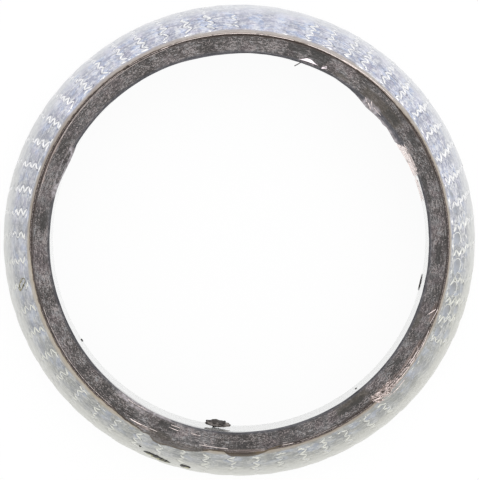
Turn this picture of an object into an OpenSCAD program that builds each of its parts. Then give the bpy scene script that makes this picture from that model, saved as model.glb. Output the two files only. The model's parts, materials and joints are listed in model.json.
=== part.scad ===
// Spherical-seat exhaust ring gasket.
// A pressed ring of graphite and fine wire, a pale facing layer bonded to its convex outside,
// and the knitted wire that shows in the facing as radial rows of zigzags.
// The ring lies on its large end: z = 0 is that face, and +Z runs along the bore to the small end.

/* [Ring] */
// Diameter of the bore
bore_d = 61; // [50:0.5:74]
// Width of the wall across the land, where the ring is widest
wall_w = 7.9; // [6.5:0.1:9.5]
// Height along the bore, from the large end to the small end
height = 17; // [14:0.5:20]
// Width of the small end face, from the bore to the outside of the facing
small_end_w = 3.25; // [2.6:0.05:4]
// Height of the straight land between the large end and the spherical seat
land_h = 4.9; // [3:0.1:7]
// Radius of the large end's outer edge
large_end_r = 1.2; // [0.8:0.1:2]
// Radius of the bore's two edges
bore_edge_r = 0.25; // [0.1:0.05:0.8]

/* [Facing layer] */
// Thickness of the facing
facing_t = 0.35; // [0.2:0.05:0.7]
// Clearance between the facing and the ring under it
bond_gap = 0.01; // [0.005:0.005:0.05]

/* [Knitted wire] */
// Rows of knitting round the ring
courses = 58; // [40:1:64]
// Pitch of the zigzags along a row
wale_pitch = 2.3; // [1.6:0.1:3]
// Width of a zigzag from tip to tip, measured round the land
zigzag_w = 1.3; // [0.8:0.1:2.2]
// Width of the wire where it leaves the facing
wire_w = 0.24; // [0.12:0.02:0.3]
// Height that the wire stands out of the facing
wire_stand = 0.08; // [0.06:0.02:0.2]
// Bare margin between a row and the small end's edge
small_end_margin = 1.5; // [0.5:0.1:3]
// Bare margin between a row and the large end's rounded edge
large_end_margin = 0.1; // [0:0.1:1]
// Clearance between the wire and the facing
wire_gap = 0.005; // [0.005:0.005:0.02]
// Angle of the first row, from +X
first_course = 5.4; // [0:0.1:6]

/* [Hidden] */
$fn = 240;

bore_r = bore_d / 2;
outer_r = bore_r + wall_w;
small_end_r = bore_r + small_end_w;

// The seat is a sphere centred on the axis, through the land's top edge and the small end's outer edge
seat_z = (pow(outer_r, 2) + pow(land_h, 2) - pow(small_end_r, 2) - pow(height, 2)) / (2 * (land_h - height));
seat_r = norm([outer_r, land_h - seat_z]);

// Elevations of the seat's two edges, seen from the sphere's centre
seat_top = asin((height - seat_z) / seat_r);
seat_low = asin((land_h - seat_z) / seat_r);

// A row runs in whole zigzag legs up the seat and down the land, from a tip on the line where they meet
leg_rise = wale_pitch / 2;
seat_arc = (seat_top - seat_low) * PI / 180 * seat_r;
seat_legs = floor((seat_arc - small_end_margin) / leg_rise);
land_legs = floor((land_h - large_end_r - large_end_margin) / leg_rise);
legs = seat_legs + land_legs;
swing = zigzag_w / 2 / outer_r * 180 / PI;

// A cut across a leg, made round the ring, is wider than the wire by this much
leg_length = norm([leg_rise, zigzag_w]);
slant = leg_length / leg_rise;
// The diagonal of a leg's flat foot bows nearest to the sphere, so the foot starts higher by that much
foot_diagonal = norm([leg_rise, zigzag_w + wire_w * slant]);
foot = pow(foot_diagonal, 2) / (8 * outer_r) + wire_gap;
// The wire's top is narrower than its foot, like the crown of a half-sunk round wire
crown = 0.45;
WIRE_SECTION = [
    [-wire_w / 2 * slant, foot],
    [-wire_w / 2 * slant * crown, foot + wire_stand],
    [wire_w / 2 * slant * crown, foot + wire_stand],
    [wire_w / 2 * slant, foot],
];
sides = len(WIRE_SECTION);

// Quarter of a disc that rounds an outer corner; its centre is at the origin and it fills +X, -Y
module corner_quarter(r) {
    intersection() {
        circle(r = r);
        translate([0, -r]) square(r);
    }
}

// What a round edge takes off a square corner at the origin, whose material lies towards +X, +Y
module corner_waste(r) {
    difference() {
        translate([-r, -r]) square(2 * r);
        translate([r, r]) circle(r = r);
        translate([r, -2 * r]) square([2 * r, 4 * r]);
        translate([-2 * r, r]) square([4 * r, 2 * r]);
    }
}

// Half section of the gasket with its convex outside moved in by inset
module outside_section(inset) {
    intersection() {
        translate([0, seat_z]) circle(r = seat_r - inset);
        translate([bore_r, large_end_r]) square([outer_r - inset - bore_r, height - large_end_r]);
    }
    translate([bore_r, 0]) square([outer_r - large_end_r - bore_r, large_end_r]);
    translate([outer_r - large_end_r, large_end_r]) corner_quarter(large_end_r - inset);
}

module graphite_ring() {
    color([0.33, 0.31, 0.31])
        rotate_extrude()
            difference() {
                outside_section(facing_t + bond_gap);
                translate([bore_r, 0]) corner_waste(bore_edge_r);
                translate([bore_r, height]) mirror([0, 1]) corner_waste(bore_edge_r);
                translate([outer_r - large_end_r - bond_gap, 0]) square([large_end_r, facing_t + bond_gap]);
            }
}

module facing_layer() {
    color([0.78, 0.81, 0.84])
        rotate_extrude()
            difference() {
                outside_section(0);
                outside_section(facing_t);
            }
}

// Radius and height of a point that stands off the outside by proud, at a rise above the line between seat and land
function outside_point(rise, proud) =
    let (elevation = seat_low + rise / seat_r * 180 / PI)
    rise < 0
        ? [outer_r + proud, land_h + rise]
        : [(seat_r + proud) * cos(elevation), seat_z + (seat_r + proud) * sin(elevation)];

// The same point in space, moved sideways round the ring
function ring_point(rise, azimuth, sideways, proud) =
    let (place = outside_point(rise, proud))
    [
        place[0] * cos(azimuth) - sideways * sin(azimuth),
        place[0] * sin(azimuth) + sideways * cos(azimuth),
        place[1],
    ];

// One row of knitting: a single wire that zigzags down the outside from the small end
module course(azimuth) {
    points = [
        for (i = [0:legs], corner = WIRE_SECTION)
            let (tip = seat_legs - i, lean = i % 2 == 0 ? swing : -swing)
            ring_point(tip * leg_rise, azimuth + lean, corner[0], corner[1])
    ];
    walls = [
        for (i = [0:legs - 1], k = [0:sides - 1])
            let (here = i * sides, below = here + sides, next = (k + 1) % sides)
            each [[here + k, below + k, below + next], [here + k, below + next, here + next]]
    ];
    top_cap = [for (k = [0:sides - 1]) k];
    low_cap = [for (k = [sides - 1:-1:0]) legs * sides + k];
    polyhedron(points, concat([top_cap], walls, [low_cap]), convexity = 10);
}

module knitted_wire() {
    color([0.93, 0.93, 0.91])
        for (k = [0:courses - 1])
            course(first_course + k * 360 / courses);
}

graphite_ring();
facing_layer();
knitted_wire();
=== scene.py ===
"""Dresses a spherical-seat exhaust ring gasket: pressed graphite body, pale facing, knitted wire and its wear."""
import json
import math

import bpy
import numpy as np
from bpy.props import FloatProperty, FloatVectorProperty, IntProperty, PointerProperty
from mathutils import Matrix, Vector, kdtree, noise


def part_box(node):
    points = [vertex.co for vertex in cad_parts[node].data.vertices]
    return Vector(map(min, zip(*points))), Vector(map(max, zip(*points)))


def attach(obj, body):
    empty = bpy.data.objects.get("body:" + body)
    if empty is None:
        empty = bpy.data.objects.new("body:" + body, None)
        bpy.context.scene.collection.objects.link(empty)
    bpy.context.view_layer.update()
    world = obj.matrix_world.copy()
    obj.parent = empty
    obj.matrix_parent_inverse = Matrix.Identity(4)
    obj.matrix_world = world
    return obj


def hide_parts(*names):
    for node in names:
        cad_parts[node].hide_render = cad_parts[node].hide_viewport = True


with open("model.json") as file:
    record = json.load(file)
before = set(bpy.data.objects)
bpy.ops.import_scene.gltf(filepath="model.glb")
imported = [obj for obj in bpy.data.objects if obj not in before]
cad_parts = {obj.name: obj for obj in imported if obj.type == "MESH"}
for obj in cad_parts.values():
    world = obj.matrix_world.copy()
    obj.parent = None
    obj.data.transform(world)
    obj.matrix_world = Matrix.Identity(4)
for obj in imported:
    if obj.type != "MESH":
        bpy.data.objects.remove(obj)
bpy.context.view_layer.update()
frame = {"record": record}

bl_info = {
    "name": "Exhaust ring gasket",
    "version": (1, 0, 0),
    "blender": (4, 5, 0),
    "location": "View3D > Sidebar > Gasket",
    "description": "Builds the surfaces of a spherical-seat exhaust ring gasket over its solid frame",
    "category": "Object",
}

MM = 0.001
FACING_LOW, FACING_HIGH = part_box("facing_layer")
BORE = next(mount for mount in frame["record"]["mounts"] if mount["name"] == "bore")

# Where the rows of knitting wander from their even places: (angle in degrees, drift in degrees)
KNIT_DRIFT = [
    (0, -0.8), (6, -1.0), (18, -0.8), (24, -0.4), (30, -0.1), (36, -0.3), (43, -0.1), (49, -0.4), (55, -0.1),
    (71, -2.9), (98, -0.7), (150, -0.9), (180, -0.4), (235, 1.0), (275, 2.1), (312, 2.2), (334, -0.5), (353, -3.0),
    (360, -0.8),
]
# How deep the rows are buried in the facing: (angle in degrees, depth in millimetres)
KNIT_DEPTH = [
    (0, 0.01), (62, 0.0), (72, 0.06), (75, 0.20), (88, 0.20), (92, 0.08), (99, 0.0), (178, 0.01), (186, 0.05),
    (204, 0.05),
    (270, 0.05), (308, 0.03), (313, 0.03), (315, 0.26), (330, 0.26), (334, 0.03), (345, 0.0), (360, 0.01),
]
# How high on the seat the rows sink out of sight: (angle in degrees, millimetres above the land)
KNIT_FADE = [(0, 4.8), (60, 4.8), (92, 6.3), (180, 6.1), (186, 5.0), (270, 5.2), (335, 5.4), (352, 6.0), (360, 5.4)]
# How far a row leans round the ring from the land to the small end: (angle in degrees, lean in degrees)
KNIT_LEAN = [
    (0, -3.0), (24, -3.0), (30, -1.8), (36, -1.4), (45, -0.6), (55, -0.1), (64, 0.8), (72, 0.5), (92, -1.6),
    (150, -1.2), (205, -1.2), (215, -0.5), (250, -0.8), (275, -0.4), (300, -0.8), (340, -1.0), (360, -3.0),
]
# How much thicker the wire shows, as flattened and blotchy strokes: (angle in degrees, factor)
KNIT_THICK = [
    (0, 1.6), (30, 1.55), (60, 1.4), (66, 1.25), (150, 1.35), (190, 1.2), (300, 1.15), (330, 1.2), (350, 1.3), (360, 1.6),
]
# How far the dark face has spread over the facing's cut edge: (angle in degrees, spread in millimetres)
RIM_SPREAD = [
    (0, 0.36), (18, 0.36), (30, 0.26), (36, 0.2), (40, 0.1), (60, 0.1), (75, 0.2), (120, 0.2), (150, 0.28),
    (160, 0.38), (178, 0.36), (186, 0.2), (235, 0.26), (270, 0.32), (300, 0.32), (345, 0.34), (360, 0.36),
]
# How far the tan of the cut edge runs down the seat: (angle in degrees, width in millimetres)
CUT_WIDTH = [
    (0, 1.2), (20, 1.25), (35, 1.2), (60, 1.55), (90, 1.65), (130, 1.4), (150, 1.3), (178, 1.4), (190, 1.5), (205, 1.6),
    (215, 1.8), (236, 1.7), (270, 1.6), (295, 1.5), (310, 1.1), (330, 1.1), (345, 1.2), (360, 1.2),
]
# How dark the cut edge is: (angle in degrees, 0 pale to 1 dark)
CUT_SHADE = [
    (0, 0.24), (30, 0.24), (45, 0.1), (60, 0.02), (100, 0.1), (130, 0.2), (150, 0.45), (175, 0.3), (185, 0.0),
    (238, 0.05), (270, 0.25), (315, 0.4), (330, 0.3), (345, 0.24), (360, 0.24),
]
# How mottled the facing is: (angle in degrees, strength)
MOTTLE = [
    (0, 1.25), (45, 1.2), (62, 1.2), (75, 0.9), (88, 0.9), (98, 1.25), (150, 1.05), (185, 0.8), (298, 0.75), (303, 0.5),
    (328, 0.5), (334, 0.9), (350, 1.0), (360, 1.25),
]
# How much darker than the rest the small end's face is: (angle in degrees, 0 to 1)
FACE_SHADE = [
    (0, 0.05), (30, 0.1), (45, 0.0), (125, 0.0), (140, 0.22), (175, 0.22), (185, 0.0), (300, 0.0), (318, 0.22),
    (352, 0.22), (360, 0.05),
]
# How strongly the graphite beside the facing is burnt brown: (angle in degrees, 0 to 1)
BURNT_RIM = [
    (0, 0.15), (18, 0.2), (23, 1.0), (38, 1.0), (42, 0.5), (60, 0.8), (85, 1.0), (105, 0.8), (150, 0.7), (182, 0.6),
    (200, 0.4), (240, 0.4), (265, 0.5), (282, 0.65), (300, 0.7), (318, 0.9), (328, 0.5), (345, 0.4), (360, 0.15),
]
# Painted light: how far the facing is coloured as if lit bluish, strongest on the far side: (angle in degrees, 0 plain
# grey to 1 bluish)
BLUE_LIGHT_TINT = [
    (0, 0.42), (20, 0.85), (45, 1.0), (135, 1.0), (158, 0.65), (185, 0.42), (205, 0.22), (235, 0.05), (320, 0.0),
    (345, 0.03), (360, 0.42),
]
# Edge of the graphite that was squeezed out over the facing: (angle in degrees, radius in millimetres)
SQUEEZED_EDGE = [
    (232, 33.2), (234.5, 33.65), (237, 33.80), (240.2, 33.90), (242, 33.99), (243, 34.23), (243.8, 34.09),
    (245, 34.19), (246.6, 34.76), (248, 34.96), (249.2, 34.86), (250.2, 34.67), (255, 34.62), (258, 34.35),
    (260.2, 33.95), (262, 33.65), (265.8, 33.65), (267, 34.2), (267.8, 34.38), (272.6, 34.41), (275, 34.22),
    (276.6, 33.9), (279, 33.5), (282, 33.2),
]
# How creamy the facing's cut edge is: (angle in degrees, 0 grey to 1 cream)
CUT_TONE = [
    (0, 0.7), (25, 0.9), (45, 0.4), (60, 0.1), (130, 0.1), (150, 0.5), (175, 0.8), (185, 0.9), (240, 1.0),
    (282, 0.8), (300, 0.8), (330, 0.7), (360, 0.7),
]
# Inward bulge of the bore's edge at the small end: (angle in degrees, bulge in millimetres)
BORE_BULGE = [
    (0, 0.08), (12, 0.05), (19, 0.0), (20.5, -0.22), (29.5, -0.22), (31.5, 0.45), (33, 0.79), (36, 0.64),
    (38.2, 0.5), (39.4, 0.69), (41, 0.59), (44, 0.66), (47, 0.76), (49.6, 0.54), (52, 0.29), (55, 0.15), (60, -0.02),
    (66, 0.02), (87, 0.06), (92, 0.2), (104, 0.2), (108, 0.12), (122, 0.08), (149, 0.0), (151, 0.2), (154.4, 0.36),
    (157, 0.26), (161, 0.1), (164, 0.0), (168, 0.0), (190, 0.0), (197, 0.07), (208, 0.07), (214, 0.0), (226, -0.03),
    (232, -0.14), (239, -0.12), (242, -0.06), (254, -0.06), (257, -0.1),
    (268, -0.12), (274, 0.03), (345, 0.05), (360, 0.08),
]
# Marks on the small end's face: (start and end angle in degrees, inner and outer radius in millimetres)
SCUFFS = [
    (234, 249, 30.3, 30.85), (231.2, 235.2, 30.5, 31.3), (43, 48.5, 29.6, 31.0), (150.5, 166, 29.9, 31.2),
    (32, 60, 28.8, 30.15), (236, 240.5, 31.1, 31.6),
]
SMEARS = [(299.5, 311, 30.75, 32.0), (334, 338.5, 30.75, 31.7), (36, 51, 30.7, 32.4), (56, 61, 30.9, 31.6)]
# In the hollows the face is sunk, and is also coloured near black, which is painted shade
HOLLOWS = [
    (70.6, 76.2, 32.0, 33.2), (64.0, 69.6, 31.6, 33.3), (64.9, 67.2, 30.6, 31.9), (322, 324.2, 31.5, 32.3),
    (38.8, 40.1, 33.2, 33.7),
    (36.3, 37.2, 33.2, 33.7), (37, 42, 31.2, 32.2), (28, 33, 31.9, 32.9), (246, 252, 31.3, 32.3),
    (12, 20, 30.9, 31.5), (354, 360, 31.6, 32.4), (300, 309, 31.6, 32.2), (171, 176, 31.2, 32.0),
]
FIBRES = [
    (316, 331.5, 32.9, 33.75), (309.5, 317.5, 32.65, 34.4), (337.5, 343, 32.9, 33.8), (264, 277, 33.2, 34.6),
    (150, 163, 33.0, 33.9),
]
# Bare places of the knit's open zone: (angle in degrees, radius of the middle, half width and half height in
# millimetres, darkness from 0 to 1, radius of the wire round it in millimetres or 0 for none)
BARE_PLACES = [
    (353.8, 35.28, 1.05, 0.52, 0.5, 0.12), (347.7, 35.22, 1.05, 0.52, 0.6, 0.12), (341.5, 35.2, 1.05, 0.52, 0.6, 0.12),
    (335.7, 35.1, 0.85, 0.42, 0.5, 0.09), (1.0, 35.1, 0.85, 0.5, 0.4, 0.11), (352.9, 36.0, 0.40, 0.65, 0.2, 0),
    (346.7, 36.0, 0.40, 0.65, 0.2, 0), (340.2, 36.0, 0.40, 0.5, 0.3, 0), (342.6, 36.8, 0.75, 0.35, 0.6, 0.07),
    (336.0, 36.8, 0.9, 0.4, 0.4, 0), (348.4, 36.75, 1.0, 0.3, 0.5, 0.07), (357.6, 35.9, 0.45, 0.3, 0.9, 0.08),
    (357.4, 34.85, 0.4, 0.25, 0.9, 0), (351.1, 35.8, 0.4, 0.35, 0.9, 0.08), (351.1, 34.85, 0.4, 0.22, 1.0, 0),
    (344.9, 35.8, 0.4, 0.35, 0.9, 0.08), (344.4, 34.9, 0.45, 0.25, 0.9, 0.06), (338.8, 35.85, 0.45, 0.4, 0.8, 0.07),
    (338.9, 34.9, 0.35, 0.22, 0.9, 0), (355.2, 36.25, 0.45, 0.28, 0.8, 0.07), (349.4, 36.2, 0.5, 0.25, 0.7, 0),
    (333.0, 35.6, 0.35, 0.4, 0.6, 0.06), (8.5, 35.2, 0.5, 0.3, 0.5, 0), (12.4, 35.0, 0.6, 0.3, 0.4, 0),
]
# Flattened loops at the facing's upper edge: (angle in degrees, radius, half length and thickness in millimetres)
LOOPS = [
    (1.7, 34.5, 0.35, 0.14), (5.5, 34.4, 0.45, 0.18), (9.0, 34.4, 0.30, 0.12), (11.2, 34.45, 0.60, 0.18),
    (15.4, 34.4, 0.35, 0.19), (18.4, 34.4, 0.35, 0.14), (22.6, 34.45, 0.35, 0.14), (29.0, 34.5, 0.30, 0.15),
    (31.2, 34.4, 0.55, 0.17), (35.2, 34.5, 0.30, 0.16), (40.6, 34.4, 0.50, 0.12), (42.3, 34.35, 0.40, 0.14),
    (48.4, 34.4, 0.40, 0.12), (53.5, 34.5, 0.30, 0.14), (55.2, 34.25, 0.45, 0.12), (60.0, 34.6, 0.40, 0.17),
    (65.0, 34.4, 0.60, 0.17), (67.0, 34.4, 0.25, 0.12), (71.2, 34.35, 0.50, 0.16), (77.6, 34.3, 0.50, 0.11),
    (85.0, 34.4, 0.30, 0.10), (98.0, 34.3, 0.30, 0.14), (104.0, 34.35, 0.6, 0.10), (110.3, 34.35, 0.50, 0.19),
    (116.3, 34.45, 0.75, 0.22), (118.4, 34.3, 0.25, 0.16), (120.9, 34.3, 0.40, 0.13), (122.8, 34.45, 0.45, 0.19),
    (127.4, 34.35, 0.20, 0.12), (129.8, 34.35, 0.55, 0.17), (134.2, 34.35, 0.30, 0.12), (135.6, 34.55, 0.60, 0.20),
    (142.5, 34.6, 0.35, 0.14), (147.2, 34.45, 0.45, 0.20), (151.6, 34.3, 0.50, 0.12), (153.8, 34.5, 0.75, 0.20),
    (159.8, 34.3, 0.55, 0.17), (166.2, 34.55, 0.50, 0.13), (172.8, 34.6, 0.45, 0.13), (178.2, 34.65, 0.35, 0.13),
    (186.0, 34.55, 0.35, 0.12), (191.2, 34.8, 0.50, 0.14), (197.2, 34.7, 0.30, 0.13), (203.8, 34.7, 0.25, 0.11),
    (211.8, 34.6, 0.60, 0.12), (217.2, 34.8, 0.35, 0.12), (222.3, 34.65, 0.20, 0.10), (224.2, 34.65, 0.60, 0.15),
    (228.6, 34.6, 0.20, 0.10), (231.3, 34.75, 0.35, 0.11), (236.2, 34.7, 0.30, 0.11), (274.4, 34.85, 0.80, 0.13),
    (279.7, 34.75, 0.35, 0.10), (281.8, 34.75, 0.45, 0.11), (286.5, 34.8, 0.50, 0.19), (288.6, 34.8, 0.45, 0.15),
    (292.5, 34.8, 0.45, 0.17), (295.0, 34.65, 0.30, 0.14), (297.5, 34.75, 0.30, 0.12), (301.4, 34.65, 0.45, 0.11),
    (304.0, 34.7, 0.30, 0.10), (307.0, 34.65, 0.40, 0.11), (310.3, 34.75, 0.45, 0.19), (324.0, 34.5, 0.35, 0.13),
    (326.1, 34.65, 0.45, 0.18), (334.0, 34.6, 0.45, 0.14), (339.5, 34.4, 0.50, 0.17), (345.8, 34.45, 0.45, 0.18),
    (347.6, 34.3, 0.45, 0.10), (352.1, 34.4, 0.35, 0.20), (355.5, 34.35, 0.45, 0.10), (358.8, 34.4, 0.60, 0.15),
]
# Bright strokes of wire on the seat: (start and end angle in degrees, radius at each in millimetres, thickness)
SEAT_STROKES = [
    (260.4, 262.4, 35.32, 34.96, 0.11), (254.2, 256.4, 35.4, 34.9, 0.13), (247.9, 249.6, 36.0, 36.5, 0.10),
    (242.6, 244.0, 35.5, 35.9, 0.10), (0.9, 3.4, 36.35, 36.45, 0.13), (8.6, 10.6, 36.35, 36.3, 0.14),
    (8.9, 10.4, 35.9, 36.0, 0.13), (13.4, 15.6, 35.75, 35.6, 0.12), (2.2, 4.0, 35.7, 35.5, 0.12),
    (51.8, 53.8, 36.1, 36.2, 0.12), (32.5, 41.0, 36.35, 36.55, 0.05), (38.8, 47.0, 36.25, 36.6, 0.045),
]

class RingSizes(bpy.types.PropertyGroup):
    """Sizes of the gasket that the surfaces follow."""

    bore_radius: FloatProperty(
        name="Bore radius", description="Radius of the bore", default=BORE["dims"]["r_mm"] * MM, unit="LENGTH")
    outer_radius: FloatProperty(
        name="Outer radius", description="Radius across the land", default=FACING_HIGH[0], unit="LENGTH")
    height: FloatProperty(
        name="Height", description="From the large end to the small end", default=FACING_HIGH[2], unit="LENGTH")
    small_end_width: FloatProperty(
        name="Small end width", description="From the bore to the facing's outside", default=3.25 * MM, unit="LENGTH")
    land_height: FloatProperty(
        name="Land height", description="Height of the straight land", default=4.9 * MM, unit="LENGTH")
    corner_radius: FloatProperty(
        name="Corner radius", description="Radius of the large end's outer edge", default=1.2 * MM, unit="LENGTH")
    edge_radius: FloatProperty(
        name="Edge radius", description="Radius of the bore's edges", default=0.25 * MM, unit="LENGTH")
    facing_thickness: FloatProperty(
        name="Facing thickness", description="Thickness of the pale facing", default=0.35 * MM, unit="LENGTH")
    courses: IntProperty(name="Courses", description="Rows of knitting round the ring", default=58)
    wale_pitch: FloatProperty(
        name="Wale pitch", description="Pitch of the zigzags along a row", default=2.3 * MM, unit="LENGTH")
    zigzag_width: FloatProperty(
        name="Zigzag width", description="Width of a zigzag from tip to tip", default=1.3 * MM, unit="LENGTH")
    wire_radius: FloatProperty(
        name="Wire radius", description="Radius of the knitted wire", default=0.12 * MM, unit="LENGTH")
    first_course: FloatProperty(
        name="First course", description="Angle of the first row from +X", default=math.radians(5.4), unit="ROTATION")


def colour_setting(name, description, default):
    """One colour that a user would change."""
    return FloatVectorProperty(name=name, description=description, default=default, subtype="COLOR", min=0.0, max=1.0)


class RingColours(bpy.types.PropertyGroup):
    """Colours of the gasket's finishes, and of the light and shade painted on the facing."""

    graphite: colour_setting("Graphite", "Pressed graphite and wire", (0.050, 0.043, 0.040))
    graphite_worn: colour_setting("Worn graphite", "Graphite rubbed paler", (0.125, 0.110, 0.108))
    graphite_pit: colour_setting("Graphite pits", "Dark spots in the graphite", (0.016, 0.014, 0.014))
    graphite_fleck: colour_setting("Graphite flecks", "Crushed wire in the graphite", (0.32, 0.285, 0.28))
    rim: colour_setting("Burnt rim", "Brown edge beside the facing", (0.035, 0.02, 0.014))
    # The cool and plain facing colours are painted light: one facing, coloured as lit by bluish light on the far side
    # and by neutral light on the near side
    blue_lit_facing: colour_setting("Blue-lit facing", "Facing on the far side", (0.46, 0.475, 0.585))
    neutral_lit_facing: colour_setting("Neutral-lit facing", "Facing on the near side", (0.290, 0.292, 0.270))
    low_facing: colour_setting("Low facing", "Facing towards the land", (0.455, 0.450, 0.395))
    # Pale facing also colours the painted sheen at grazing angles
    pale_facing: colour_setting("Pale facing", "Chalky patches of the facing", (0.77, 0.775, 0.78))
    # Facing shade colours the painted shade beside the wires, along the folds and on the dim side of the rows, and also
    # the dark mottling and the seams
    shade_facing: colour_setting("Facing shade", "Hollows beside the wires", (0.15, 0.16, 0.235))
    cut_edge: colour_setting("Cut edge", "Edge of the facing at the small end", (0.40, 0.345, 0.255))
    wire: colour_setting("Wire", "Bright stainless wire", (0.94, 0.94, 0.95))
    copper_wire: colour_setting("Warm wire", "Wire stained by heat", (0.84, 0.74, 0.71))
    dull_wire: colour_setting("Dull wire", "Crushed wire in the small end", (0.52, 0.46, 0.45))
    floor: colour_setting("Floor", "Plain pale floor", (0.93, 0.93, 0.93))


class Outside:
    """The gasket's convex outside: a sphere above a straight land, which meet on one line."""

    def __init__(self, sizes):
        self.land_r = sizes.outer_radius
        self.land_h = sizes.land_height
        self.top_r = sizes.bore_radius + sizes.small_end_width
        self.height = sizes.height
        squares = self.land_r ** 2 + self.land_h ** 2 - self.top_r ** 2 - self.height ** 2
        self.centre = squares / (2 * (self.land_h - self.height))
        self.radius = math.hypot(self.land_r, self.land_h - self.centre)
        self.low = math.asin((self.land_h - self.centre) / self.radius)
        self.high = math.asin((self.height - self.centre) / self.radius)
        self.arc = (self.high - self.low) * self.radius

    def place(self, rise, proud=0.0):
        """Radius and height of places that stand proud of the outside, at a rise above the meeting line."""
        rise = np.asarray(rise, dtype=float)
        up = self.low + np.maximum(rise, 0.0) / self.radius
        on_seat = rise >= 0
        r = np.where(on_seat, (self.radius + proud) * np.cos(up), self.land_r + proud)
        z = np.where(on_seat, self.centre + (self.radius + proud) * np.sin(up), self.land_h + rise)
        return r, z

    def rise_of(self, r, z):
        """The rise of places near the outside, from their radius and height."""
        up = np.arctan2(z - self.centre, r)
        return np.where(z > self.land_h, (up - self.low) * self.radius, z - self.land_h)

    def height_at(self, r):
        """Height of the seat at a radius."""
        return self.centre + np.sqrt(self.radius ** 2 - np.asarray(r) ** 2)


class Knit:
    """Where the rows of knitting lie, and the path of each row's wire."""

    def __init__(self, sizes, outside):
        self.sizes = sizes
        self.outside = outside
        self.count = sizes.courses
        self.first = math.degrees(sizes.first_course)
        self.pitch = 360 / sizes.courses
        even = np.linspace(-60, 420, 961)
        self.even = even
        self.real = even + np.interp(even % 360, *np.transpose(KNIT_DRIFT))

    def angle(self, row):
        """Angle in degrees of a row number, which may be a fraction."""
        return np.interp(self.first + np.asarray(row) * self.pitch, self.even, self.real)

    def row(self, angle):
        """Row number at an angle from 0 to 360 degrees."""
        return (np.interp(angle, self.real, self.even) - self.first) / self.pitch

    def path(self, row, swing, top, foot, sink=0.0, seed=0):
        """One wire down the outside from rise top to foot: a zigzag whose tips dive into the facing."""
        rng = np.random.default_rng(1000 + seed + int(2 * row))
        leg = self.sizes.wale_pitch / 2 * rng.uniform(0.90, 1.20)
        count = int((top - foot) / leg)
        tips = top - leg * (np.arange(count + 1) + rng.uniform(-0.16, 0.16, count + 1))
        tips[0] = top
        tips = np.append(tips[tips > foot + 0.3 * leg], foot)
        hand = rng.choice((-1, 1))
        sides = hand * np.where(np.arange(len(tips)) % 2, -1, 1) * rng.uniform(0.6, 1.25, len(tips)) * swing
        sides += 0.25 * swing * np.cumsum(rng.uniform(-1, 1, len(tips))) / 1.5
        steps = np.arange(0, len(tips) - 1 + 1e-9, 1 / 6)
        leg_number = np.minimum(steps.astype(int), len(tips) - 2)
        t = steps - leg_number
        ease = 0.75 * t + 0.25 * (0.5 - 0.5 * np.cos(np.pi * t))
        rises = tips[leg_number] + (tips[leg_number + 1] - tips[leg_number]) * t
        aside = sides[leg_number] + (sides[leg_number + 1] - sides[leg_number]) * ease
        at_tip = np.abs(np.cos(np.pi * t)) ** 3
        r, z = self.outside.place(rises)
        even = float(self.angle(row)) % 360
        lean = by_angle(KNIT_LEAN, even) * (np.clip(rises / self.outside.arc, 0, 1) - 0.55)
        angle = self.angle(row) + lean + np.degrees(aside / r)
        low = np.clip((by_angle(KNIT_FADE, even) * MM - rises) / (1.6 * MM), 0, 1)
        worn = np.maximum(lumps(ring_places(angle, r, z), 0.9 * MM, 2) + 0.05, 0)
        sunk = sink + by_angle(KNIT_DEPTH, angle % 360) * MM + (0.05 * at_tip + 0.13 * low + 0.20 * worn) * MM
        proud = 0.06 * MM - self.sizes.wire_radius - sunk
        up = np.where(rises > 0, self.outside.low + rises / self.outside.radius, 0.0)
        return ring_places(angle, r + proud * np.cos(up), z + proud * np.sin(up))

    def widths(self, path, radius):
        """A wire's radius at each point of its path: full in the middle of a leg and thin at its tips."""
        at_tip = np.abs(np.cos(np.pi * np.arange(len(path)) / 6)) ** 3
        angle = np.degrees(np.arctan2(path[:, 1], path[:, 0])) % 360
        return radius * (1.35 - 0.6 * at_tip) * by_angle(KNIT_THICK, angle)

    def rows(self):
        """The paths of all the rows, from the small end to the large end's rounded edge."""
        rng = np.random.default_rng(7)
        foot = self.sizes.corner_radius - self.outside.land_h + 0.1 * MM
        tops = self.outside.arc - rng.uniform(1.45, 1.95, self.count) * MM
        return [self.path(k, self.sizes.zigzag_width / 2, tops[k], foot) for k in range(self.count)]


def lumps(points, size, octaves=2):
    """Smooth noise from about -1 to 1 at points in metres, with lumps of that size."""
    scale = 1.0 / size
    return np.array([noise.fractal(Vector(point) * scale, 1.0, 2.0, octaves) for point in points])


def by_angle(table, angle):
    """A value from a list of (degrees, value), blended between its entries."""
    return np.interp(angle, *np.transpose(table))


def mark_of(zones, points, angle, r):
    """How far places lie inside listed zones of a face, from 0 to 1, with ragged edges."""
    ragged = lumps(points, 0.8 * MM, 3)
    mark = np.zeros(len(points))
    for start, end, inner, outer in zones:
        around = np.minimum(angle - start, end - angle) * math.radians(1) * 34
        across = np.minimum(r / MM - inner, outer - r / MM)
        mark = np.maximum(mark, np.clip(np.minimum(around, across * 1.6) / 0.35 + 0.6 + 0.9 * ragged, 0, 1))
    return mark


def ring_places(angle, r, z):
    """Points in space from angle in degrees, radius and height."""
    turn = np.radians(angle)
    return np.stack([r * np.cos(turn), r * np.sin(turn), z + 0 * turn], axis=-1)


def read_points(piece):
    """The piece's vertices, with the angle in degrees and the radius of each."""
    flat = np.empty(len(piece.data.vertices) * 3)
    piece.data.vertices.foreach_get("co", flat)
    points = flat.reshape(-1, 3)
    angle = np.degrees(np.arctan2(points[:, 1], points[:, 0])) % 360
    return points, angle, np.hypot(points[:, 0], points[:, 1])


def write_points(piece, points):
    """Puts the piece's vertices at new places."""
    piece.data.vertices.foreach_set("co", np.ascontiguousarray(points, dtype=float).ravel())
    piece.data.update()


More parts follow.
